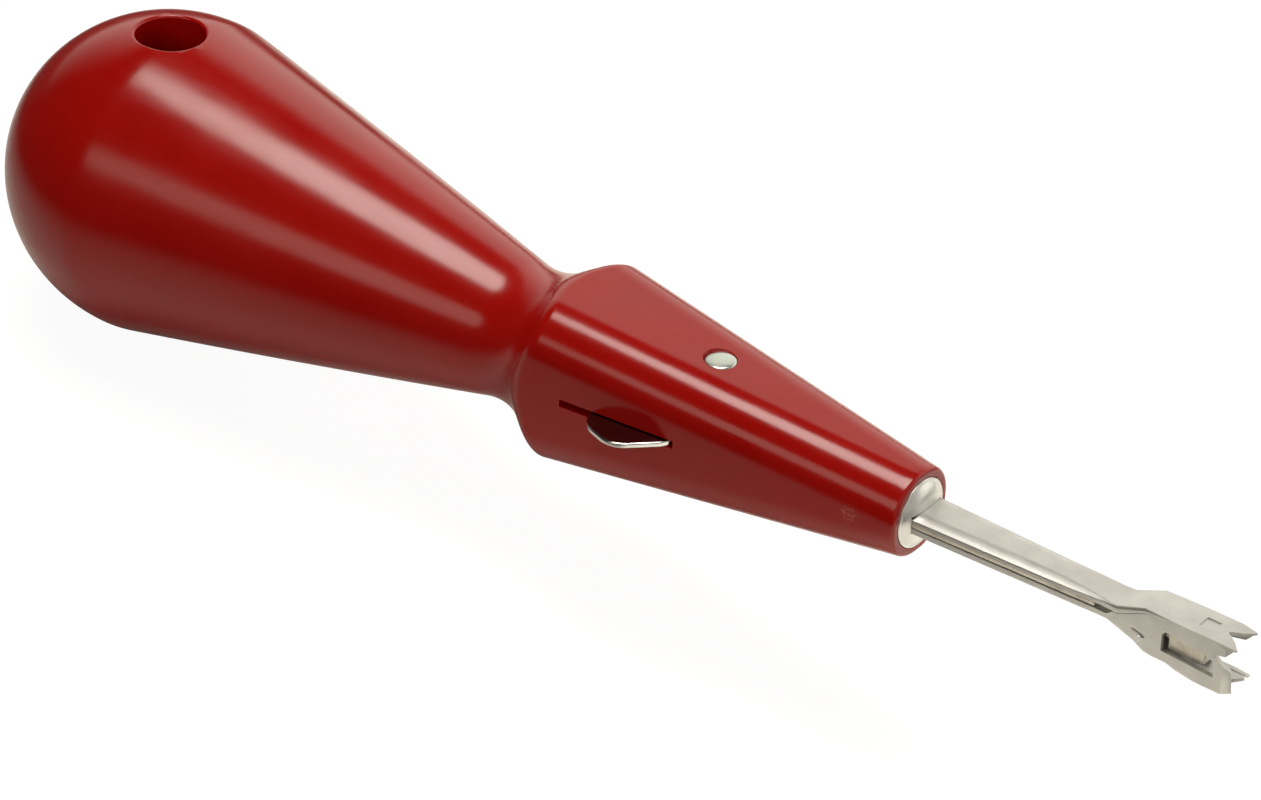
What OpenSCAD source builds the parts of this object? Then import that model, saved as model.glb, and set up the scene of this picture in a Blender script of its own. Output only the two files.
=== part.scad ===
// Pear-handled seam ripper with a finger lever, a sliding ejector and a
// four-pronged box head. Millimetres. +X runs from the butt to the prongs,
// +Z is up along the hanging hole, and the origin is the hanging hole's centre.
// Stations below are distances from the butt, measured along the tool.

/* [Handle] */
// Radius of the handle's bulb
bulb_r = 18.35; // [17:0.05:20]
// Distance from the butt to the hanging hole
hang_x = 19.5; // [18:0.1:21]
// Radius of the hanging hole
hang_r = 3.9; // [2.5:0.1:4.5]
// Radius of the neck behind the shoulder
neck_r = 7.5; // [7:0.05:8]
// Half width across the nose's flats at the shoulder
nose_h1 = 9.0; // [8.8:0.1:9.6]
// Half width across the nose's flats at its front end
nose_h2 = 4.72; // [4.6:0.02:5.4]

/* [Lever] */
// Station of the cross pin
pin_x = 96.2; // [95:0.1:97]
// Radius of the cross pin
pin_r = 1.72; // [1.4:0.02:1.8]
// Running clearance round the cross pin
pin_gap = 0.05; // [0.03:0.01:0.08]
// Thickness of the lever plate
lever_t = 0.6; // [0.5:0.05:0.65]
// Distance from the cross pin to the link pin
link_a = 2.75; // [2.7:0.01:2.8]

/* [Shank] */
// Thickness of the ejector strip
strip_t = 0.45; // [0.35:0.05:0.45]
// Half height of the shank
shank_z = 0.98; // [0.9:0.02:1.1]
// Half width of the shank at the collar
shank_w1 = 2.5; // [2.2:0.02:2.5]
// Half width of the shank where the head begins
shank_w2 = 1.86; // [1.6:0.02:1.9]

/* [Head] */
// Half width of the box head
head_w = 2.12; // [2:0.02:2.3]
// Top of the box head above the tool's axis
head_top = 2.3; // [2.2:0.02:2.5]
// Bottom of the box head below the tool's axis
head_bot = 3.38; // [3.2:0.02:3.6]
// Thickness of the head's sheet
sheet = 0.5; // [0.4:0.05:0.55]
// Station of the prong tips
tip_x = 159.5; // [158.9:0.1:160]

/* [Hidden] */

RED = [0.50, 0.06, 0.05];
NICKEL = [0.78, 0.76, 0.70];
STEEL = [0.66, 0.65, 0.62];

shoulder_x = 82;          // where the nose's flats begin at full width
nose_x = 121.7;           // front face of the handle
bore_r = 3.55;            // nose bore, which the collar's sleeve fills
bore_x = 91.2;            // blind end of the nose bore
collar_x = 111.6;         // rear end of the collar's sleeve
lever_z = 0.28;           // underside of the lever plate
strip_z = -0.25;          // underside of the ejector strip
slot_z0 = 0.13;           // finger slot, lowest and highest
slot_z1 = 1.03;
rest_a = 11;              // the link pin's lag behind the cross pin at rest
butt_a = 19.3;            // length of the butt's half ellipse
neck_x = 71.0;            // station of the neck's smallest section
neck_arc = 9;             // radius of the neck's hollow
neck_in = 13.2;           // slope of the flank where the hollow begins
neck_out = 43;            // slope of the shoulder where the hollow ends

// The flank of the bulb, a slightly barrelled cone from the crest to the neck
flank_x1 = neck_x - neck_arc * sin(neck_in);
flank_r1 = neck_r + neck_arc * (1 - cos(neck_in));
crest_arc = 11;
crest_x1 = hang_x + crest_arc * sin(11.6);
crest_r1 = bulb_r - crest_arc * (1 - cos(11.6));
function flank(x) =
    let (u = (x - crest_x1) / (flank_x1 - crest_x1))
    crest_r1 + (flank_r1 - crest_r1) * u + 0.55 * u * (1 - u);

function bulb_pts() = concat(
    [for (t = [0:6:90]) [bulb_r * sin(t), hang_x - butt_a * cos(t)]],
    [for (t = [3:3:9]) [bulb_r - crest_arc * (1 - cos(t)), hang_x + crest_arc * sin(t)]],
    [for (i = [0:12]) let (x = crest_x1 + (flank_x1 - crest_x1) * i / 12) [flank(x), x]],
    [for (t = [-9:4.5:0]) [neck_r + neck_arc * (1 - cos(t)), neck_x + neck_arc * sin(t)]]);

function shoulder_pts() = concat(
    [for (t = [0:neck_out / 8:neck_out]) [neck_r + neck_arc * (1 - cos(t)), neck_x + neck_arc * sin(t)]],
    [[12.6, neck_x + neck_arc * sin(neck_out)
            + (12.6 - neck_r - neck_arc * (1 - cos(neck_out))) / tan(neck_out)]]);

// Moves a shape whose stations are along +Z so that they run along +X
module along_x() { translate([-hang_x, 0, 0]) rotate([90, 0, 90]) children(); }
module at_x(x) { translate([x - hang_x, 0, 0]) children(); }
// A round bar along the tool from station x0 to x1
module bar(x0, x1, r0, r1) { at_x(x0) rotate([0, 90, 0]) cylinder(h = x1 - x0, r1 = r0, r2 = r1, $fn = 64); }
// A flat piece drawn in plan, from height z0 to z1
module plan(z0, z1) { translate([-hang_x, 0, z0]) linear_extrude(z1 - z0) children(); }
// A piece drawn in side view, reaching w to each side
module side(w) { translate([-hang_x, w, 0]) rotate([90, 0, 0]) linear_extrude(2 * w) children(); }

function nose_h(x) = nose_h1 + (nose_h2 - nose_h1) * (x - shoulder_x) / (nose_x - shoulder_x);
function nose_rc(x) = 4.93 - 0.5 * (x - shoulder_x) / (nose_x - shoulder_x);

// The tapered nose, a square bar whose long edges are widely rounded
module nose_bar() {
    x0 = 70; x1 = nose_x; t = 0.02;
    hull() for (x = [x0, x1 - t], sy = [-1, 1], sz = [-1, 1])
        at_x(x) translate([0, sy * (nose_h(x) - nose_rc(x)), sz * (nose_h(x) - nose_rc(x))])
            rotate([0, 90, 0]) cylinder(h = t, r = nose_rc(x), $fn = 32);
}

module handle() {
    color(RED) difference() {
        union() {
            along_x() rotate_extrude($fn = 96)
                polygon(concat(bulb_pts(), [[neck_r, neck_x + 0.5], [0, neck_x + 0.5]]));
            intersection() {
                along_x() rotate_extrude($fn = 96)
                    polygon(concat([[0, neck_x]], shoulder_pts(), [[12.6, nose_x - 0.6], [11.9, nose_x], [0, nose_x]]));
                nose_bar();
            }
        }
        // hanging hole with softened rims
        translate([0, 0, -30]) cylinder(h = 60, r = hang_r, $fn = 64);
        for (s = [0, 180]) rotate([s, 0, 0]) translate([0, 0, bulb_r - 0.75])
            cylinder(h = 2, r1 = hang_r, r2 = hang_r + 2, $fn = 64);
        // seat of the cross pin
        at_x(pin_x) translate([0, 0, -20]) cylinder(h = 40, r = pin_r, $fn = 48);
        // nose bore, and the recess for the collar's flange
        bar(bore_x, nose_x + 1, bore_r, bore_r);
        bar(nose_x - 0.6, nose_x + 1, 3.85, 3.85);
        // finger slot and the pocket that the lever swings in
        plan(slot_z0, slot_z1) polygon([[82.4, -13], [96.1, -13], [96.1, -7.4],
            [99.2, -2.2], [99.2, 3.0], [92.6, 3.0], [82.4, -1.6]]);
    }
}

module collar() {
    color(NICKEL) difference() {
        union() {
            bar(collar_x, nose_x - 0.6, bore_r, bore_r);
            bar(nose_x - 0.6, nose_x + 0.1, 3.83, 3.83);
            bar(nose_x + 0.1, nose_x + 0.5, 3.83, 3.2);
            bar(nose_x + 0.5, nose_x + 0.9, 3.2, 3.05);
        }
        at_x(collar_x - 1) translate([0, -shank_w1, -shank_z]) cube([13, 2 * shank_w1, 2 * shank_z]);
    }
}

module pivot_pin() {
    z = nose_h(pin_x) - 0.1;
    color(NICKEL) at_x(pin_x) rotate_extrude($fn = 48)
        polygon([[0, -z - 0.12], [pin_r - 0.5, -z - 0.1], [pin_r, -z + 0.1], [pin_r, z - 0.1], [pin_r - 0.5, z + 0.1], [0, z + 0.12]]);
}

// Outline of the shank and head seen from above, drawn in by g
module leaf_plan(x0, g) {
    polygon(concat(
        [for (p = [[x0, shank_w1], [123.5, shank_w1], [144.5, shank_w2], [149.3, head_w], [tip_x, head_w]]) [p[0], p[1] - g]],
        [for (p = [[tip_x, head_w], [149.3, head_w], [144.5, shank_w2], [123.5, shank_w1], [x0, shank_w1]]) [p[0], g - p[1]]]));
}

// Outline of the upper prongs seen from above, from station x0
module upper_prongs(x0) {
    polygon([[x0, -head_w], [157.6, -head_w], [tip_x, -1.95], [tip_x, -1.83], [158.7, -0.95], [157.5, -0.12],
        [157.5, 0.12], [158.7, 0.95], [tip_x, 1.83], [tip_x, 1.95], [157.6, head_w], [x0, head_w]]);
}

// Outline of the lower prongs, whose far side is cut well back
module lower_prongs(x0) {
    polygon([[x0, -head_w], [158.4, -head_w], [tip_x - 0.2, -1.62], [tip_x - 0.2, -1.5], [158.0, -0.1],
        [tip_x - 0.35, 1.08], [tip_x - 0.35, 1.2], [157.6, 1.38], [156.6, head_w], [x0, head_w]]);
}

module upper_leaf() {
    color(NICKEL) intersection() {
        side(4) polygon([[collar_x, lever_z], [146.3, lever_z], [149.3, head_top - sheet], [tip_x, head_top - sheet + 0.1],
            [tip_x, head_top - 0.2], [157.8, head_top], [149.2, head_top], [146.0, shank_z], [collar_x, shank_z]]);
        plan(-1, 5) leaf_plan(collar_x, 0);
        plan(-1, 5) union() {
            translate([100, -5]) square([57.2, 10]);
            upper_prongs(157);
        }
        // punched square in the head's top plate
        difference() {
            plan(-1, 5) translate([100, -5]) square([70, 10]);
            plan(head_top - 0.12, 5) translate([154.6, -0.8]) square([1.6, 1.6]);
        }
    }
}

// Underside of the lower leaf in side view, from the shank to the prongs
under = [[144.9, -0.98], [148.2, -1.95], [149.6, -2.7], [150.6, -2.82], [152.2, -2.85], [153.4, -3.25], [154.2, -head_bot]];

module lower_leaf() {
    low = -0.33;
    color(NICKEL) {
        // strip, ramp and floor of the box
        intersection() {
            side(4) polygon(concat([[collar_x, -shank_z]], under, [[158.4, -head_bot], [tip_x - 0.2, 0.2 - head_bot],
                [tip_x - 0.2, 0.45 - head_bot], [154, 0.45 - head_bot], [153.2, 0.5 - 3.25], [152, 0.5 - 2.85],
                [149.8, 0.5 - 2.75], [148.4, 0.55 - 1.95], [145.3, low], [collar_x, low]]));
            plan(-5, 1) leaf_plan(collar_x, 0);
            plan(-5, 1) union() {
                translate([100, -5]) square([56.2, 10]);
                lower_prongs(156);
            }
        }
        // both side walls
        difference() {
            intersection() {
                side(4) polygon(concat([[144.9, -0.4]], under, [[158.4, -head_bot], [tip_x - 0.2, 0.3 - head_bot],
                    [159.15, -0.76], [157.1, 0.68], [158.5, 1.0], [159.1, head_top - sheet - 0.1],
                    [159.1, head_top - sheet + 0.09], [149.3, head_top - sheet], [146.3, lever_z], [145.7, lever_z]]));
                plan(-5, 5) difference() {
                    leaf_plan(collar_x, 0);
                    leaf_plan(collar_x - 1, sheet);
                }
                plan(-5, 5) polygon([[140, -5], [140, 5], [157.6, 5], [157.6, head_w], [tip_x, 1.95], [tip_x, 0],
                    [tip_x, -1.62], [158.4, -head_w], [158.4, -5]]);
            }
            // windows
            side(4) polygon([[151.5, -1.55], [156.6, -1.87], [156.6, 0.05], [151.5, 0.62]]);
            translate([-hang_x, 0, 0]) rotate([90, 0, 0]) linear_extrude(4) polygon([[156, -1.83], [157.4, -1.9], [157.45, -0.1], [156, 0.1]]);
            // the far side is open in front of its window
            translate([-hang_x, 4, 0]) rotate([90, 0, 0]) linear_extrude(4)
                polygon([[155, -2.55], [155.4, 0.45 - head_bot], [161, 0.45 - head_bot], [161, 0.68], [155, 0.68]]);
        }
    }
}

module thumb_lever() {
    color(STEEL) difference() {
        plan(lever_z, lever_z + lever_t) translate([pin_x, 0]) hull() {
            circle(r = 3.0, $fn = 32);
            translate([-6.9, -8.1]) circle(r = 3.1, $fn = 48);
            translate([-5.6, -8.6]) circle(r = 3.0, $fn = 48);
            translate([-2.4, -7.3]) circle(r = 1.6, $fn = 32);
            rotate(rest_a) translate([0, link_a]) circle(r = 0.6, $fn = 32);
        }
        at_x(pin_x) cylinder(h = 4, r = pin_r + pin_gap, center = true, $fn = 48);
        at_x(pin_x) rotate(rest_a) translate([0, link_a, 0]) cylinder(h = 4, r = 0.4, center = true, $fn = 32);
    }
}

module link_pin() {
    color(STEEL) at_x(pin_x) rotate(rest_a) translate([0, link_a, 0]) {
        translate([0, 0, -0.42]) cylinder(h = lever_z + lever_t + 0.44, r = 0.4, $fn = 32);
        translate([0, 0, lever_z + lever_t + 0.01]) cylinder(h = 0.1, r1 = 0.52, r2 = 0.42, $fn = 32);
    }
}

module ejector_strip() {
    eye_x = pin_x - link_a * sin(rest_a);
    eye_y = link_a * (1 + cos(rest_a)) / 2;
    color(STEEL) difference() {
        plan(strip_z, strip_z + strip_t) {
            // fork round the cross pin
            polygon([[95.2, 1.95], [99.4, 1.95], [99.4, -1.95], [95.2, -1.95], [95.2, -3.1], [102.5, -3.1], [102.5, -1.25],
                [111.9, -1.25], [112.4, 0.08 - shank_w1], [123.5, 0.08 - shank_w1], [143.5, 0.1 - shank_w2], [143.7, -1.08],
                [150.6, -1.08], [151.6, -1.42], [153.9, -1.42],
                [153.9, 1.42], [151.6, 1.42], [150.6, 1.08],
                [143.7, 1.08], [143.5, shank_w2 - 0.1], [123.5, shank_w1 - 0.08], [112.4, shank_w1 - 0.08], [111.9, 1.25],
                [102.5, 1.25], [102.5, 3.1], [98, 3.1], [96.6, 3.4], [95.2, 3.4]]);
            translate([eye_x, eye_y]) circle(r = 0.76, $fn = 48);
        }
        translate([eye_x - hang_x, eye_y, -2]) cylinder(h = 4, r = 0.47, $fn = 32);
    }
}

module ejector_head() {
    w = head_w - sheet - 0.18;
    color(STEEL) difference() {
        side(w) polygon([[151.9, -1.45], [155.9, -1.6], [155.9, 0.35], [155.3, 0.75], [151.9, 0.6]]);
        // slot that the strip's end is pressed into
        at_x(151) translate([0, -1.43, strip_z]) cube([2.91, 2.86, strip_t]);
        // finger relief in the pushing face
        at_x(155.1) translate([0, -0.6, -1.1]) cube([3, 1.2, 1.2]);
    }
}

module spring_washer() {
    color(STEEL) difference() {
        bar(102.55, 102.9, 3.2, 3.2);
        at_x(102) translate([0, -1.3, strip_z - 0.05]) cube([2, 2.6, strip_t + 0.1]);
    }
}

// Wire of the compression spring, swept along its coils
module return_spring() {
    x0 = 103.12; x1 = 111.38; coils = 8; steps = 16; k = 8;
    wire = 0.2; mean = 2.1; n = coils * steps;
    function c(i) = let (a = 360 * i / steps) [x0 + (x1 - x0) * i / n - hang_x, mean * cos(a), mean * sin(a)];
    pts = [for (i = [0:n], j = [0:k - 1]) let (a = 360 * i / steps, b = 360 * j / k)
        c(i) + [wire * sin(b), wire * cos(b) * cos(a), wire * cos(b) * sin(a)]];
    faces = concat(
        [[for (j = [0:k - 1]) j]],
        [for (i = [0:n - 1], j = [0:k - 1]) let (a = i * k + j, b = i * k + (j + 1) % k) [a, a + k, b + k]],
        [for (i = [0:n - 1], j = [0:k - 1]) let (a = i * k + j, b = i * k + (j + 1) % k) [a, b + k, b]],
        [[for (j = [k - 1:-1:0]) n * k + j]]);
    color(STEEL) polyhedron(points = pts, faces = faces, convexity = 8);
}

handle();
collar();
pivot_pin();
upper_leaf();
lower_leaf();
thumb_lever();
link_pin();
ejector_strip();
ejector_head();
spring_washer();
return_spring();
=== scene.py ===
import math

import bmesh
import bpy
from mathutils import Matrix, Vector

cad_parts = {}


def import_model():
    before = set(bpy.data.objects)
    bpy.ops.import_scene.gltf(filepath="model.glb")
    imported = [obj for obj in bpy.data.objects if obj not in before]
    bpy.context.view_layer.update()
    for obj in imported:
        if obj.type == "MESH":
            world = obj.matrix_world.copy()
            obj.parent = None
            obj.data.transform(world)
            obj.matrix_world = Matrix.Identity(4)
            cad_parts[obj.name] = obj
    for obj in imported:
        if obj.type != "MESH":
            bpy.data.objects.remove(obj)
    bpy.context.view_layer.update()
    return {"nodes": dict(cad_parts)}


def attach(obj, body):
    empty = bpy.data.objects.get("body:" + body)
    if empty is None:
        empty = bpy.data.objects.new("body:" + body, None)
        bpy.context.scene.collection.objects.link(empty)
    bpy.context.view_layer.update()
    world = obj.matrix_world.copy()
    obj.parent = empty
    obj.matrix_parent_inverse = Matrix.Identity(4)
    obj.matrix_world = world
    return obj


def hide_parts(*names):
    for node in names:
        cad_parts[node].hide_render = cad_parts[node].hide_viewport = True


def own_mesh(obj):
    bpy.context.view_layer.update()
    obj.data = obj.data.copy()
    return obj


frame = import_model()

HANG = 19.5  # station of the hanging hole, the frame's origin
TILT = math.radians(6.13)  # the tool lies on its bulb and its lower prongs
scene = bpy.context.scene


# ---------------------------------------------------------------- camera
def make_camera():
    az, el, roll = (math.radians(v) for v in (36.9, 32.7, 2.49))
    back = Vector((math.sin(az) * math.cos(el), -math.cos(az) * math.cos(el), math.sin(el)))
    right = Vector((math.cos(az), math.sin(az), 0))
    up = back.cross(right)
    r2 = right * math.cos(roll) + up * math.sin(roll)
    u2 = -right * math.sin(roll) + up * math.cos(roll)
    place = Vector((0.080 - HANG / 1000, 0, 0)) + back * 0.44098 + r2 * 0.00376 - u2 * 0.00370
    data = bpy.data.cameras.new("camera")
    data.sensor_width = 36.0
    data.lens = 4200 * 36.0 / 1261
    data.clip_start, data.clip_end = 0.01, 50
    cam = bpy.data.objects.new("camera", data)
    cam.matrix_world = Matrix((
        (r2.x, u2.x, back.x, place.x), (r2.y, u2.y, back.y, place.y),
        (r2.z, u2.z, back.z, place.z), (0, 0, 0, 1)))
    scene.collection.objects.link(cam)
    scene.camera = cam


make_camera()
scene.view_settings.view_transform = "Standard"
scene.view_settings.look = "None"


# ---------------------------------------------------------------- materials
class Graph:
    """A short way to write a material's nodes."""

    def __init__(self, name):
        self.m = bpy.data.materials.new(name)
        self.m.use_nodes = True
        self.t = self.m.node_tree
        self.bsdf = self.t.nodes["Principled BSDF"]
        self.out = self.t.nodes["Material Output"]
        self.coord = self.t.nodes.new("ShaderNodeTexCoord")

    def node(self, kind, **values):
        n = self.t.nodes.new(kind)
        for k, v in values.items():
            setattr(n, k, v)
        return n

    def link(self, a, b):
        self.t.links.new(a, b)

    def set(self, **values):
        for k, v in values.items():
            self.bsdf.inputs[k.replace("_", " ")].default_value = v

    def mapped(self, scale, offset=(0, 0, 0)):
        n = self.node("ShaderNodeMapping")
        n.inputs["Scale"].default_value = scale
        n.inputs["Location"].default_value = offset
        self.link(self.coord.outputs["Object"], n.inputs["Vector"])
        return n.outputs["Vector"]

    def noise(self, vector, scale, detail=3.0, rough=0.5):
        n = self.node("ShaderNodeTexNoise")
        n.inputs["Scale"].default_value = scale
        n.inputs["Detail"].default_value = detail
        n.inputs["Roughness"].default_value = rough
        self.link(vector, n.inputs["Vector"])
        return n.outputs["Fac"]

    def ramp(self, fac, a, b, x0=0.0, x1=1.0):
        n = self.node("ShaderNodeMapRange")
        n.inputs["From Min"].default_value = x0
        n.inputs["From Max"].default_value = x1
        n.inputs["To Min"].default_value = a
        n.inputs["To Max"].default_value = b
        self.link(fac, n.inputs["Value"])
        return n.outputs["Result"]

    def colours(self, fac, stops):
        n = self.node("ShaderNodeValToRGB")
        r = n.color_ramp
        while len(r.elements) < len(stops):
            r.elements.new(0.5)
        for e, (pos, col) in zip(r.elements, stops):
            e.position = pos
            e.color = (*col, 1)
        self.link(fac, n.inputs["Fac"])
        return n.outputs["Color"]

    def math(self, op, a, b):
        n = self.node("ShaderNodeMath", operation=op)
        for i, v in enumerate((a, b)):
            if isinstance(v, (int, float)):
                n.inputs[i].default_value = v
            else:
                self.link(v, n.inputs[i])
        return n.outputs[0]

    def bump(self, height, strength, distance, normal=None):
        n = self.node("ShaderNodeBump")
        n.inputs["Strength"].default_value = strength
        n.inputs["Distance"].default_value = distance
        self.link(height, n.inputs["Height"])
        if normal is not None:
            self.link(normal, n.inputs["Normal"])
        return n.outputs["Normal"]


def red_plastic():
    g = Graph("red_plastic")
    cloud = g.noise(g.mapped((60, 60, 60)), 1.0, 3.0, 0.55)
    streak = g.noise(g.mapped((50, 900, 900)), 1.0, 2.0, 0.6)
    tint = g.colours(cloud, [(0.25, (0.300, 0.0021, 0.0006)), (0.55, (0.325, 0.0026, 0.0008)), (0.8, (0.345, 0.0036, 0.0014))])
    # a few knocks on the near flat by the nose
    spot = g.node("ShaderNodeVectorMath", operation="DISTANCE")
    g.link(g.mapped((1, 1, 1), (-0.0971, 0.0053, -0.0001)), spot.inputs[0])
    chips = g.noise(g.mapped((2100, 2100, 2100), (0.3, 0.1, 0.7)), 1.0, 1.0, 0.5)
    mark = g.math("MULTIPLY", g.ramp(spot.outputs["Value"], 1.0, 0.0, 0.0003, 0.0012), g.ramp(chips, 0.0, 0.8, 0.46, 0.70))
    worn = g.node("ShaderNodeMix", data_type="RGBA")
    g.link(g.math("MULTIPLY", mark, 0.7), worn.inputs["Factor"])
    g.link(tint, worn.inputs[6])
    worn.inputs[7].default_value = (0.62, 0.30, 0.24, 1)
    g.link(worn.outputs[2], g.bsdf.inputs["Base Color"])
    fine = g.noise(g.mapped((2600, 2600, 2600)), 1.0, 2.0, 0.5)
    rough = g.math("ADD", g.ramp(cloud, 0.16, 0.21, 0.3, 0.7), g.ramp(streak, -0.015, 0.03, 0.35, 0.8))
    g.link(g.math("ADD", rough, g.math("MULTIPLY", mark, 0.25)), g.bsdf.inputs["Roughness"])
    wave = g.noise(g.mapped((160, 160, 160)), 1.0, 2.0, 0.4)
    n1 = g.bump(wave, 0.10, 0.00035)
    n2 = g.bump(fine, 0.05, 0.00003, n1)
    g.link(n2, g.bsdf.inputs["Normal"])
    g.set(IOR=1.49)
    return g.m


def nickel(name, base, rough, along=(120, 2600, 2600), grain=0.10, stain=0.10, metallic=1.0):
    """Plated sheet with the fine drawn grain of its stock along `along`'s coarse direction."""
    g = Graph(name)
    grainy = g.noise(g.mapped(along), 1.0, 3.0, 0.6)
    blot = g.noise(g.mapped((420, 420, 420)), 1.0, 4.0, 0.6)
    dark = tuple(c * (1 - stain) for c in base)
    light = tuple(min(1.0, c * 1.04) for c in base)
    g.link(g.colours(blot, [(0.30, dark), (0.52, base), (0.75, light)]), g.bsdf.inputs["Base Color"])
    r = g.math("ADD", g.ramp(blot, rough + 0.05, rough - 0.04, 0.3, 0.7), g.ramp(grainy, -0.03, 0.05, 0.3, 0.75))
    g.link(r, g.bsdf.inputs["Roughness"])
    g.link(g.bump(grainy, grain, 0.00004), g.bsdf.inputs["Normal"])
    g.set(Metallic=metallic)
    return g.m


RED = red_plastic()
NICKEL = nickel("nickel", (0.61, 0.598, 0.57), 0.33, grain=0.08, stain=0.07, metallic=0.76)
COLLAR = nickel("nickel_turned", (0.80, 0.79, 0.765), 0.31, (2600, 300, 300), 0.05, 0.05, metallic=0.85)
PIN = nickel("pin_steel", (0.63, 0.665, 0.61), 0.32, (500, 500, 500), 0.04, 0.06)
LEVER = nickel("lever_steel", (0.82, 0.80, 0.775), 0.10, (200, 1500, 1500), 0.02, 0.05)
STRIP = nickel("strip_steel", (0.80, 0.745, 0.645), 0.36, stain=0.22, metallic=0.78)
SPRING = nickel("spring_steel", (0.45, 0.44, 0.42), 0.32, (900, 900, 900))


# ---------------------------------------------------------------- mesh tools (millimetres, stations from the butt)
def make(name, verts, faces):
    me = bpy.data.meshes.new(name)
    me.from_pydata([tuple(v) for v in verts], [], faces)
    me.validate()
    return me


def temp(me):
    o = bpy.data.objects.new(me.name, me)
    scene.collection.objects.link(o)
    return o


def baked(o):
    """The object's mesh with its modifiers, and the object is gone."""
    dg = bpy.context.evaluated_depsgraph_get()
    dg.update()
    me = bpy.data.meshes.new_from_object(o.evaluated_get(dg))
    bpy.data.objects.remove(o)
    return me


def cut(me, *cutters):
    """The mesh less each cutter, one exact boolean at a time."""
    o = temp(me)
    tools = []
    for c in cutters:
        t = temp(c)
        tools.append(t)
        m = o.modifiers.new("cut", "BOOLEAN")
        m.operation, m.object, m.solver = "DIFFERENCE", t, "EXACT"
    out = baked(o)
    for t in tools:
        bpy.data.objects.remove(t)
    return out


def tidy(me, dist=1e-4):
    bm = bmesh.new()
    bm.from_mesh(me)
    bmesh.ops.remove_doubles(bm, verts=bm.verts, dist=dist)
    bmesh.ops.dissolve_degenerate(bm, edges=bm.edges, dist=dist)
    loose = [v for v in bm.verts if not v.link_faces]
    bmesh.ops.delete(bm, geom=loose, context="VERTS")
    bmesh.ops.recalc_face_normals(bm, faces=bm.faces)
    bm.to_mesh(me)
    bm.free()
    return me


def piece(name, me, mats, body, nodes, sharp=35, shift=HANG, flats=False):
    """Puts a finished mesh into the frame, in metres, on its body."""
    me.transform(Matrix.Scale(0.001, 4) @ Matrix.Translation((-shift, 0, 0)))
    me.materials.clear()
    for m in (mats if isinstance(mats, (list, tuple)) else [mats]):
        me.materials.append(m)
    me.shade_smooth()
    if sharp:
        me.set_sharp_from_angle(angle=math.radians(sharp))
    if flats:  # the big faces keep their own normals beside the rounded edges
        t = temp(me)
        m = t.modifiers.new("normals", "WEIGHTED_NORMAL")
        m.keep_sharp, m.weight = True, 90
        me = baked(t)
    me.name = name
    o = bpy.data.objects.new(name, me)
    scene.collection.objects.link(o)
    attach(o, body)
    if nodes:
        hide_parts(*nodes)
    return o


def lathe(profile, segments, axis="x", centre=(0, 0, 0)):
    """Closed surface turned round an axis from (along, radius) points. A radius of 0 is a pole."""
    verts, rings = [], []
    for along, r in profile:
        if r <= 1e-9:
            rings.append([len(verts)])
            verts.append((along, 0, 0))
        else:
            rings.append(list(range(len(verts), len(verts) + segments)))
            for i in range(segments):
                a = 2 * math.pi * i / segments
                verts.append((along, r * math.cos(a), r * math.sin(a)))
    faces = bridge(rings)
    if profile[0][1] > 1e-9 and profile[-1][1] > 1e-9:
        faces += bridge([rings[-1], rings[0]])
    if axis == "z":
        verts = [(v[1], v[2], v[0]) for v in verts]
    return make("lathe", [(v[0] + centre[0], v[1] + centre[1], v[2] + centre[2]) for v in verts], faces)


def bridge(rings):
    faces = []
    for a, b in zip(rings, rings[1:]):
        n = max(len(a), len(b))
        for i in range(n):
            j = (i + 1) % n
            if len(a) == 1:
                faces.append((a[0], b[j], b[i]))
            elif len(b) == 1:
                faces.append((a[i], a[j], b[0]))
            else:
                faces.append((a[i], a[j], b[j], b[i]))
    return faces


def prism(points, z0, z1, axis="z"):
    """A straight piece from an outline. axis z: outline in plan. axis y: outline (station, height), from y=z0 to y=z1."""
    n = len(points)
    if axis == "z":
        v = [(x, y, z0) for x, y in points] + [(x, y, z1) for x, y in points]
    else:
        v = [(x, z0, z) for x, z in points] + [(x, z1, z) for x, z in points]
    f = [tuple(range(n))[::-1], tuple(range(n, 2 * n))] + [(i, (i + 1) % n, n + (i + 1) % n, n + i) for i in range(n)]
    me = make("prism", v, f)
    return tidy(me)


def of_node(node):
    """A copy of a CAD node's mesh in millimetres, with its flat faces whole again."""
    me = frame["nodes"][node].data.copy()
    me.transform(Matrix.Translation((HANG, 0, 0)) @ Matrix.Scale(1000, 4))
    bm = bmesh.new()
    bm.from_mesh(me)
    bmesh.ops.remove_doubles(bm, verts=bm.verts, dist=1e-3)
    bmesh.ops.dissolve_limit(bm, angle_limit=math.radians(1.0), verts=bm.verts, edges=bm.edges)
    bmesh.ops.recalc_face_normals(bm, faces=bm.faces)
    bm.to_mesh(me)
    bm.free()
    me.materials.clear()
    return me


def bevelled(me, width, weight, segments=4, angle=28):
    """Rounds the edges. weight(a, b, normals) gives each sharp edge's share of the width."""
    bm = bmesh.new()
    bm.from_mesh(me)
    layer = bm.edges.layers.float.get("bevel_weight_edge") or bm.edges.layers.float.new("bevel_weight_edge")
    for e in bm.edges:
        e[layer] = 0.0
        if len(e.link_faces) == 2 and e.calc_face_angle(0) > math.radians(angle):
            e[layer] = weight(e.verts[0].co, e.verts[1].co, [f.normal for f in e.link_faces])
    bm.to_mesh(me)
    bm.free()
    o = temp(me)
    m = o.modifiers.new("round", "BEVEL")
    m.limit_method, m.width, m.segments = "WEIGHT", width, segments
    m.use_clamp_overlap = False
    m.miter_outer = "MITER_ARC"
    return baked(o)


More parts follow.
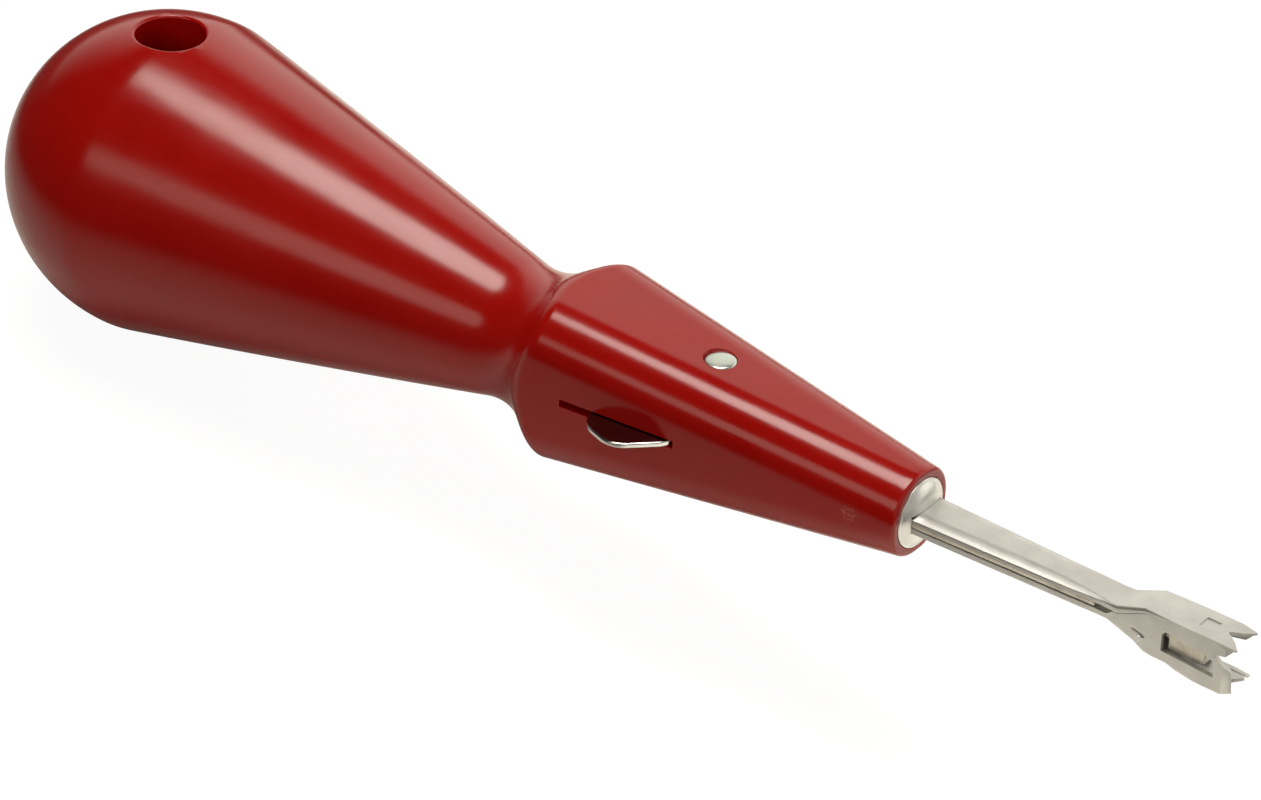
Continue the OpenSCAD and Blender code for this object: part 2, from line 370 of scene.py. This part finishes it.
# ---------------------------------------------------------------- handle
BUTT_A, BULB, NECK_R, NECK_X, ARC = 19.3, 18.35, 7.5, 71.0, 9.0
H1, H2, X1, X2 = 9.0, 4.72, 82.0, 121.7
RIM = 0.38  # rounding of the nose's front edge
SIN, COS, TAN = (lambda d: math.sin(math.radians(d))), (lambda d: math.cos(math.radians(d))), (lambda d: math.tan(math.radians(d)))
CX1, CR1 = HANG + 11 * SIN(11.6), BULB - 11 * (1 - COS(11.6))
FX1, FR1 = NECK_X - ARC * SIN(13.2), NECK_R + ARC * (1 - COS(13.2))


def half(x):
    return H1 + (H2 - H1) * (x - X1) / (X2 - X1)


def corner(x):
    return 4.93 - 0.5 * (x - X1) / (X2 - X1)


def square(x, phi):
    """Distance from the axis to the nose bar's rounded square."""
    h, rc = half(x), corner(x)
    a, b = sorted((abs(math.cos(phi)), abs(math.sin(phi))))
    c = h - rc
    if h * a / b <= c:
        return h / b
    d = c * (a + b)
    return d + math.sqrt(max(d * d - 2 * c * c + rc * rc, 0))


def turned(x):
    """The turned outline's radius."""
    if x <= HANG:
        return BULB * math.sqrt(max(1 - ((HANG - x) / BUTT_A) ** 2, 0))
    if x <= CX1:
        return BULB - 11 + math.sqrt(121 - (x - HANG) ** 2)
    if x <= FX1:
        u = (x - CX1) / (FX1 - CX1)
        return CR1 + (FR1 - CR1) * u + 0.55 * u * (1 - u)
    if x <= NECK_X + ARC * SIN(43):
        return NECK_R + ARC - math.sqrt(ARC ** 2 - (x - NECK_X) ** 2)
    return min(12.6, NECK_R + ARC * (1 - COS(43)) + (x - NECK_X - ARC * SIN(43)) * TAN(43))


def skin(x, phi):
    t = turned(x)
    if x <= NECK_X:
        return t
    q = square(x, phi)
    k = 0.9
    m = max(k - abs(t - q), 0) / k
    return min(t, q) - m * m * k / 4


def top(x, y):
    """Height of the handle's surface over a point, at the bulb."""
    return math.sqrt(max(turned(x) ** 2 - y * y, 0))


def handle_mesh():
    n = 256
    rings = []  # each is (station, radius as a function of the angle)
    stations = [HANG - BUTT_A * COS(t * 2.25) for t in range(1, 41)]
    stations += [HANG + 11 * SIN(11.6 * i / 6) for i in range(1, 7)]
    stations += [CX1 + (FX1 - CX1) * i / 48 for i in range(1, 49)]
    stations += [NECK_X + ARC * SIN(t) for t in (-11, -9, -7, -5, -3, -1, 1, 3, 5, 7, 9, 11, 13, 15, 17, 19, 21, 23, 25, 27, 29)]
    x = stations[-1]
    while x < 82.2:
        x += 0.14 if x < 80.5 else 0.3
        stations.append(x)
    k = 44
    stations += [x + (X2 - RIM - x) * i / k for i in range(1, k + 1)]
    verts = [(HANG - BUTT_A, 0, 0)]
    ids = [[0]]

    def ring(x, radius):
        ids.append(list(range(len(verts), len(verts) + n)))
        for i in range(n):
            a = 2 * math.pi * (i + 0.5) / n
            r = radius(a)
            verts.append((x, r * math.cos(a), r * math.sin(a)))

    for x in stations:
        ring(x, lambda a, x=x: skin(x, a))
    # softened front rim, the flange's recess and the bore
    for t in (15, 30, 45, 60, 75, 90):
        xx = X2 - RIM * (1 - SIN(t))
        ring(xx, lambda a, xx=xx, t=t: skin(xx, a) - RIM * (1 - COS(t)))
    ring(X2, lambda a: 0.5 * (skin(X2, a) - RIM) + 0.5 * 3.95)
    for dx, r in ((0, 3.97), (0.03, 3.92), (0.12, 3.86), (0.55, 3.85), (0.6, 3.84), (0.6, 3.60), (0.7, 3.55)):
        ring(X2 - dx, lambda a, r=r: r)
    for x in (118, 110, 100, 95, 91.35):
        ring(x, lambda a: 3.55)
    ring(91.2, lambda a: 3.4)
    ids.append([len(verts)])
    verts.append((91.0, 0, 0))
    me = make("handle", verts, [f[::-1] for f in bridge(ids)])
    tidy(me)

    # hanging hole with rolled rims that follow the bulb
    lip, seg = 0.35, 96
    prof = []
    for s in (-1, 1):
        side = []
        for t in range(0, 91, 10):
            side.append((3.9 + lip * (1 - COS(t)), None, SIN(t)))
        prof.append(side)
    v, rows = [], []
    for j in range(2 * 10 + 4):
        rows.append([])
        for i in range(seg):
            a = 2 * math.pi * i / seg
            r_out = 3.9 + lip
            end = top(HANG + r_out * math.cos(a), r_out * math.sin(a)) + 0.006
            if j < 2:
                r, z = ((r_out + 0.5, -24), (r_out + 0.5, -top(HANG + (r_out + 0.5) * math.cos(a), (r_out + 0.5) * math.sin(a)) - 0.10))[j]
            elif j < 12:
                t = 90 - (j - 2) * 10
                r, z = 3.9 + lip * (1 - COS(t)), -(end - lip + lip * SIN(t))
            elif j < 22:
                t = (j - 12) * 10
                r, z = 3.9 + lip * (1 - COS(t)), end - lip + lip * SIN(t)
            else:
                r, z = ((r_out + 0.5, top(HANG + (r_out + 0.5) * math.cos(a), (r_out + 0.5) * math.sin(a)) + 0.10), (r_out + 0.5, 24))[j - 22]
            rows[-1].append(len(v))
            v.append((HANG + r * math.cos(a), r * math.sin(a), z))
    hole = make("hole", v, bridge(rows) + [tuple(rows[0])[::-1], tuple(rows[-1])])
    tidy(hole)

    # seats of the cross pin, each with a fine chamfer on the sloping flat
    seats = []
    zf = half(96.2)
    for s in (-1, 1):
        seats.append(tidy(lathe([(s * 5.0, 0), (s * 5.0, 1.735), (s * (zf - 0.22), 1.735), (s * (zf + 0.02), 1.83), (s * (zf + 0.8), 2.0), (s * (zf + 0.8), 0)], 64, "z", (96.2, 0, 0))))
    # finger slot and pocket
    pocket = prism([(82.4, -13), (96.1, -13), (96.1, -7.4), (99.2, -2.2), (99.2, 3.0), (92.6, 3.0), (82.4, -1.6)], 0.13, 1.03)
    me = cut(me, hole, seats[0], seats[1], pocket)
    return tidy(me, 2e-4)


piece("handle_body_shell", handle_mesh(), RED, "handle_body", ["handle"], sharp=33)


# ---------------------------------------------------------------- collar, pin
def collar_mesh():
    prof = [(111.7, 3.40), (111.75, 3.50), (121.05, 3.53), (121.12, 3.60), (121.14, 3.80), (121.2, 3.83), (121.68, 3.83)]
    prof += [(121.74, 3.815), (121.79, 3.78), (121.83, 3.72), (121.85, 3.64), (121.85, 3.56), (121.83, 3.50), (121.82, 3.46)]
    prof += [(121.87, 3.41), (121.96, 3.31), (122.07, 3.17), (122.18, 3.01), (122.28, 2.83), (122.37, 2.64), (122.44, 2.45)]
    prof += [(122.50, 2.25), (122.545, 2.04), (122.575, 1.84), (122.59, 1.64), (122.6, 1.4), (122.6, 0)]
    prof = [(111.7, 0)] + prof
    me = tidy(lathe(prof, 128))
    w, z = 2.53, 1.01
    box = prism([(110, -w), (124, -w), (124, w), (110, w)], -z, z)
    me = cut(me, box)
    return tidy(me)


piece("collar_ferrule", collar_mesh(), COLLAR, "handle_body", ["collar"], sharp=40)

zp = half(96.2)
pin_prof = [(-zp - 0.02, 0), (-zp - 0.015, 0.6), (-zp + 0.01, 1.15), (-zp + 0.05, 1.48), (-zp + 0.12, 1.63), (-zp + 0.22, 1.70), (-zp + 0.35, 1.72)]
pin_prof += [(-4, 1.72), (0, 1.72), (4, 1.72)] + [(-a, r) for a, r in reversed(pin_prof)]
pin = tidy(lathe(pin_prof, 96, "z", (96.2, 0, 0)))
piece("pivot_pin_turned", pin, PIN, "handle_body", ["pivot_pin"], sharp=50)


# ---------------------------------------------------------------- shank and head
def w_upper(a, b, normals):
    m = (a + b) / 2
    if max(a.x, b.x) > 157.3 or (m.z > 1.9 and abs(m.y) < 1.0 and m.x > 154):
        return 0.0  # the filed prongs and the punched square stay crisp
    if any(n.z < -0.6 for n in normals) and m.x > 149.2:
        return 0.0  # the plate is brazed flush to the walls
    if any(n.z > 0.6 for n in normals) and abs(m.y) > 1.2:
        return 0.8 if m.x < 144 else 1.0
    return 0.2


def crown(side, R, run):
    """What the sheet's rolled edge loses: a strip that follows the tapering shank and runs out at the head."""
    curve = [(run * i / 14, R - math.sqrt(R * R - (run * i / 14) ** 2)) for i in range(15)]
    v, rows = [], []
    for x, w, up in ((110.0, 2.5, 0), (123.5, 2.5, 0), (130.0, 2.307, 0), (136.0, 2.128, 0), (138.0, 2.068, 0.004), (139.5, 2.024, 0.018), (141.0, 1.979, 0.045), (142.2, 1.943, 0.08), (143.2, 1.914, 0.125), (144.2, 1.884, 0.185), (145.0, 1.86, 0.25), (145.9, 1.86, 0.37)):
        ring = [(w - run + y, 0.98 - z + up) for y, z in curve]
        ring += [(w + 0.4, 0.98 - curve[-1][1] - 0.12 + up), (w + 0.6, 1.6), (w - run, 1.6)]
        rows.append(list(range(len(v), len(v) + len(ring))))
        v += [(x, side * y, z) for y, z in ring]
    return tidy(make("crown", v, bridge(rows) + [tuple(rows[0])[::-1], tuple(rows[-1])]))


upper = cut(tidy(bevelled(of_node("upper_leaf"), 0.28, w_upper, 5)), crown(-1, 3.3, 1.55), crown(1, 2.5, 0.9))
piece("upper_leaf_formed", tidy(upper), NICKEL, "handle_body", ["upper_leaf"], sharp=32, flats=True)


def w_lower(a, b, normals):
    m = (a + b) / 2
    if max(a.x, b.x) > 157.0 or (any(n.z > 0.6 for n in normals) and m.x > 149.2):
        return 0.0
    if any(n.z < -0.6 for n in normals) and abs(m.y) > 1.2:
        return 0.45 if m.x < 146 else 1.0
    return 0.16


def lower_mesh():
    me = of_node("lower_leaf")
    # shallow coined hollows at the foot of each wall
    cutters = []
    for s in (-1, 1):
        c = lathe([(-0.95 * COS(t), 0.95 * SIN(t) if 0 < t < 180 else 0) for t in range(0, 181, 12)], 40)
        c.transform(Matrix.Diagonal((1.0, 0.26, 0.42, 1)))
        c.transform(Matrix.Rotation(math.radians(18), 4, "Y"))
        c.transform(Matrix.Translation((148.75, s * 2.17, -0.62)))
        cutters.append(tidy(c))
    me = bevelled(me, 0.32, w_lower, 6)
    return tidy(cut(tidy(me), *cutters), 2e-4)


piece("lower_leaf_formed", lower_mesh(), NICKEL, "handle_body", ["lower_leaf"], sharp=32, flats=True)


# ---------------------------------------------------------------- lever, ejector and spring
# Painted shade: a dark copy of the lever's steel, put on its flat faces in place of the dark reflection of the handle
# and the slot's shade.
LEVER_PAINTED_SHADE = nickel("lever_painted_shade", (0.20, 0.18, 0.17), 0.16, (300, 1500, 300), 0.03, 0.20)
lever = bevelled(of_node("thumb_lever"), 0.2, lambda a, b, n: 1.0 if a.y < -4 and b.y < -4 else 0.4, 5, 40)
plate = piece("thumb_lever_plate", tidy(lever), [LEVER, LEVER_PAINTED_SHADE], "lever", ["thumb_lever"], sharp=30, flats=True)
for p in plate.data.polygons:  # flat faces painted dark in place of the shade and dark reflection they show; the edges stay bright steel
    p.material_index = 1 if abs(p.normal.z) > 0.97 else 0
link = bevelled(of_node("link_pin"), 0.05, lambda a, b, n: 1.0, 3, 40)
piece("link_pin_riveted", tidy(link), LEVER, "lever", ["link_pin"], sharp=40)
strip = bevelled(of_node("ejector_strip"), 0.06, lambda a, b, n: 1.0, 3, 30)
piece("ejector_strip_sheared", tidy(strip), STRIP, "ejector", ["ejector_strip"], sharp=30, flats=True)
block = bevelled(of_node("ejector_head"), 0.09, lambda a, b, n: 1.0, 3, 30)
piece("ejector_head_block", tidy(block), STRIP, "ejector", ["ejector_head"], sharp=30, flats=True)
washer = bevelled(of_node("spring_washer"), 0.05, lambda a, b, n: 1.0, 2, 40)
piece("spring_washer_punched", tidy(washer), STRIP, "ejector", ["spring_washer"], sharp=40)


def spring_mesh():
    x0, x1, coils, steps, k = 103.12, 111.38, 8, 28, 12
    wire, mean, n = 0.2, 2.1, 8 * 28
    v, rows = [], []
    for i in range(n + 1):
        a = 2 * math.pi * i / steps
        u = i / n
        # the last turn at each end closes up
        s = 0.5 - 0.5 * math.cos(math.pi * min(max((u - 0.03) / 0.94, 0), 1))
        x = x0 + (x1 - x0) * (0.82 * u + 0.18 * s)
        rows.append(list(range(len(v), len(v) + k)))
        for j in range(k):
            b = 2 * math.pi * j / k
            v.append((x + wire * math.sin(b), (mean + wire * math.cos(b)) * math.cos(a), (mean + wire * math.cos(b)) * math.sin(a)))
    return tidy(make("spring", v, bridge(rows) + [tuple(rows[0])[::-1], tuple(rows[-1])]))


spring = piece("return_spring_wound", spring_mesh(), SPRING, "handle_body", ["return_spring"], sharp=60)
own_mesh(spring)


# ---------------------------------------------------------------- stage
def area(name, direction, distance, width, height, radiance, colour, target=(0.06, 0, 0), spread=180, shape="RECTANGLE"):
    """A softbox seen from the target in that direction, with its width level. It has that radiance."""
    d = Vector(direction).normalized()
    data = bpy.data.lights.new(name, "AREA")
    data.shape = shape
    data.size, data.size_y = width, height
    data.energy = radiance * math.pi * width * height * (math.pi / 4 if shape == "ELLIPSE" else 1.0)
    data.color = colour
    data.spread = math.radians(spread)
    o = bpy.data.objects.new(name, data)
    z = d
    x = Vector((0, 0, 1)).cross(z)
    x = Vector((0, 1, 0)) if x.length < 0.35 else x.normalized()
    x = (x - z * x.dot(z)).normalized()
    y = z.cross(x)
    p = Vector(target) + d * distance
    o.matrix_world = Matrix(((x.x, y.x, z.x, p.x), (x.y, y.y, z.y, p.y), (x.z, y.z, z.z, p.z), (0, 0, 0, 1)))
    o.visible_camera = False
    scene.collection.objects.link(o)
    return o


# overhead softbox, a low window light in front
area("light_over", (-0.045, 0.005, 1), 3.0, 1.76, 1.78, 9.0, (1.0, 0.965, 0.885), shape="ELLIPSE")
area("light_front", (-0.05, -0.9, 0.44), 3.0, 1.66, 1.12, 1.75, (1.0, 0.94, 0.80), shape="ELLIPSE")

# a soft lift for the near side, which the gloss doesn't show
fill = area("light_fill", (0.35, -1.0, 0.55), 3.0, 2.0, 1.2, 2.1, (1.0, 0.95, 0.88))
fill.visible_glossy = False


def world():
    w = bpy.data.worlds.new("studio")
    w.use_nodes = True
    t = w.node_tree
    t.nodes.clear()
    new = t.nodes.new
    out = new("ShaderNodeOutputWorld")
    mix = new("ShaderNodeMixShader")
    seen, lit = new("ShaderNodeBackground"), new("ShaderNodeBackground")
    seen.inputs["Color"].default_value = (1, 1, 1, 1)
    path, coord, sep = new("ShaderNodeLightPath"), new("ShaderNodeTexCoord"), new("ShaderNodeSeparateXYZ")
    t.links.new(coord.outputs["Generated"], sep.inputs[0])

    def step(src, x0, x1, a, b):
        n = new("ShaderNodeMapRange")
        n.interpolation_type = "SMOOTHSTEP"
        n.inputs["From Min"].default_value, n.inputs["From Max"].default_value = x0, x1
        n.inputs["To Min"].default_value, n.inputs["To Max"].default_value = a, b
        t.links.new(src, n.inputs["Value"])
        return n.outputs["Result"]

    def calc(op, a, b):
        n = new("ShaderNodeMath")
        n.operation = op
        for i, v in enumerate((a, b)):
            if isinstance(v, (int, float)):
                n.inputs[i].default_value = v
            else:
                t.links.new(v, n.inputs[i])
        return n.outputs[0]

    back = calc("MULTIPLY", step(sep.outputs["Y"], -0.05, 0.75, 0, 1.18), step(sep.outputs["Z"], 0.60, 0.77, 1, 0))
    side = calc("MULTIPLY", step(sep.outputs["X"], 0.0, 0.7, 0, 0.35), step(sep.outputs["Z"], 0.6, 0.9, 1, 0))
    level = calc("ADD", calc("MAXIMUM", back, side), 0.03)
    t.links.new(level, lit.inputs["Strength"])
    lit.inputs["Color"].default_value = (1.0, 0.97, 0.87, 1)
    t.links.new(path.outputs["Is Camera Ray"], mix.inputs[0])
    t.links.new(lit.outputs[0], mix.inputs[1])
    t.links.new(seen.outputs[0], mix.inputs[2])
    t.links.new(mix.outputs[0], out.inputs["Surface"])
    scene.world = w


def floor():
    b, e = math.radians(0), TILT
    n = Vector((math.sin(e), 0, math.cos(e)))
    # touches the bulb and the lower prongs
    p0 = Vector((0.0, 0, 0)) - n * 0.01840
    x = Vector((math.cos(e), 0, -math.sin(e)))
    me = bpy.data.meshes.new("floor")
    bm = bmesh.new()
    s, k = 4.0, 24
    grid = [[bm.verts.new(p0 + x * ((i / k - 0.5) * 2 * s) + Vector((0, 1, 0)) * ((j / k - 0.5) * 2 * s)) for j in range(k + 1)] for i in range(k + 1)]
    for i in range(k):
        for j in range(k):
            bm.faces.new((grid[i][j], grid[i + 1][j], grid[i + 1][j + 1], grid[i][j + 1]))
    bm.normal_update()
    bm.to_mesh(me)
    bm.free()
    o = bpy.data.objects.new("floor", me)
    scene.collection.objects.link(o)
    m = bpy.data.materials.new("floor")
    m.use_nodes = True
    t = m.node_tree
    t.nodes.clear()
    new = t.nodes.new
    out, mix, add, path = new("ShaderNodeOutputMaterial"), new("ShaderNodeMixShader"), new("ShaderNodeAddShader"), new("ShaderNodeLightPath")
    painted_pool_bsdf, pale, glow = new("ShaderNodeBsdfDiffuse"), new("ShaderNodeBsdfDiffuse"), new("ShaderNodeEmission")
    # painted light: the floor colour that reflections and bounce light see is a painted pool of light that ends a few
    # centimetres from the tool, brighter behind it and darker in front
    coord, sep = new("ShaderNodeTexCoord"), new("ShaderNodeSeparateXYZ")
    t.links.new(coord.outputs["Object"], sep.inputs[0])

    def step(src, x0, x1, a, b):
        n = new("ShaderNodeMapRange")
        n.interpolation_type = "SMOOTHSTEP"
        for k, v in (("From Min", x0), ("From Max", x1), ("To Min", a), ("To Max", b)):
            n.inputs[k].default_value = v
        t.links.new(src, n.inputs["Value"])
        return n.outputs["Result"]

    def calc(op, a, b=0.0):
        n = new("ShaderNodeMath")
        n.operation = op
        for i, v in enumerate((a, b)):
            if isinstance(v, (int, float)):
                n.inputs[i].default_value = v
            else:
                t.links.new(v, n.inputs[i])
        return n.outputs[0]

    past = calc("MAXIMUM", calc("SUBTRACT", calc("ABSOLUTE", calc("SUBTRACT", sep.outputs["X"], 0.0675)), 0.072), 0.0)
    across = calc("MAXIMUM", calc("MULTIPLY", sep.outputs["Y"], -1.0), calc("MULTIPLY", sep.outputs["Y"], 0.18))
    away = calc("SQRT", calc("ADD", calc("MULTIPLY", past, past), calc("MULTIPLY", across, across)))
    level = calc("MULTIPLY", step(away, 0.025, 0.085, 1.0, 0.05), calc("MAXIMUM", step(sep.outputs["Y"], -0.008, 0.030, 0.53, 1.0), step(sep.outputs["X"], 0.068, 0.105, 0.0, 1.0)))
    shade = new("ShaderNodeCombineColor")
    t.links.new(level, shade.inputs[0])
    t.links.new(calc("MULTIPLY", level, 0.985), shade.inputs[1])
    t.links.new(calc("MULTIPLY", level, 0.93), shade.inputs[2])
    t.links.new(shade.outputs[0], painted_pool_bsdf.inputs["Color"])
    pale.inputs["Color"].default_value = (0.10, 0.10, 0.10, 1)
    glow.inputs["Color"].default_value = (1, 1, 1, 1)
    glow.inputs["Strength"].default_value = 0.935
    t.links.new(pale.outputs[0], add.inputs[0])
    t.links.new(glow.outputs[0], add.inputs[1])
    t.links.new(path.outputs["Is Camera Ray"], mix.inputs[0])
    t.links.new(painted_pool_bsdf.outputs[0], mix.inputs[1])
    t.links.new(add.outputs[0], mix.inputs[2])
    t.links.new(mix.outputs[0], out.inputs["Surface"])
    me.materials.append(m)


world()
floor()
